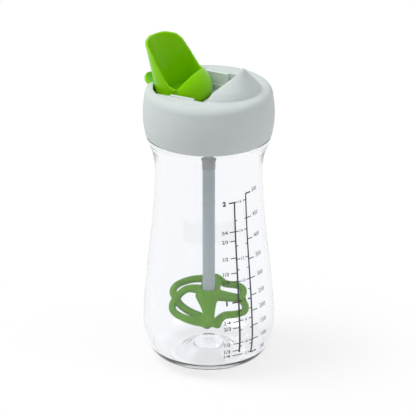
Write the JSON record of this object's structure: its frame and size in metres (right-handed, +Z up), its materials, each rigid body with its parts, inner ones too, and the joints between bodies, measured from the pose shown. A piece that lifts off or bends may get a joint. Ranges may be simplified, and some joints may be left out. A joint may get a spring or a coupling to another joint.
{
  "type": "salad dressing shaker bottle",
  "caption": "Clear waisted shaker bottle with a screw lid, a flip-up pouring spout with a thumb tab, and a whisk on a rod that hangs from the lid.",
  "frame": {"origin": "centre of the flat ring that the bottle stands on", "axes": "+Z up along the bottle's axis; the spout's hinge is parallel to Y; its open tip leans to -X and the lid's raised nose is on +X"},
  "size_m": [0.0796, 0.077, 0.1945],
  "materials": {
    "clear_plastic": "clear polished plastic",
    "lid_plastic": "pale grey matte moulded plastic",
    "seal_silicone": "translucent white silicone",
    "green_plastic": "glossy bright green moulded plastic",
    "socket_plastic": "grey moulded plastic",
    "rod_plastic": "frosted grey plastic",
    "whisk_silicone": "soft green silicone"
  },
  "bodies": {
    "bottle": {"bottle": "clear_plastic"},
    "seal_ring": {"rim_gasket": "seal_silicone"},
    "lid": {"lid_shell": "lid_plastic", "lid_insert": "lid_plastic", "pour_seal": "seal_silicone", "stem_socket": "socket_plastic"},
    "spout": {"spout": "green_plastic"},
    "stirrer": {"stirring_rod": "rod_plastic", "whisk": "whisk_silicone"}
  },
  "joints": [
    {"name": "lid_rise", "type": "slide", "parent": "bottle", "child": "seal_ring", "axis": [0, 0, 1], "range_m": [0, 0.006]},
    {"name": "lid_turn", "type": "hinge", "parent": "seal_ring", "child": "lid", "pos_m": [0, 0, 0.1554], "axis": [0, 0, 1], "range_deg": [0, 360]},
    {"name": "spout_flip", "type": "hinge", "parent": "lid", "child": "spout", "pos_m": [-0.0156, 0, 0.1655], "axis": [0, 1, 0], "range_deg": [0, 97]},
    {"name": "stirrer_pull", "type": "slide", "parent": "lid", "child": "stirrer", "axis": [0, 0, -1], "range_m": [0, 0.009]}
  ],
  "couplings": [
    {"joint": "lid_rise", "follows": "lid_turn", "m_per_rad": 0.00095}
  ]
}
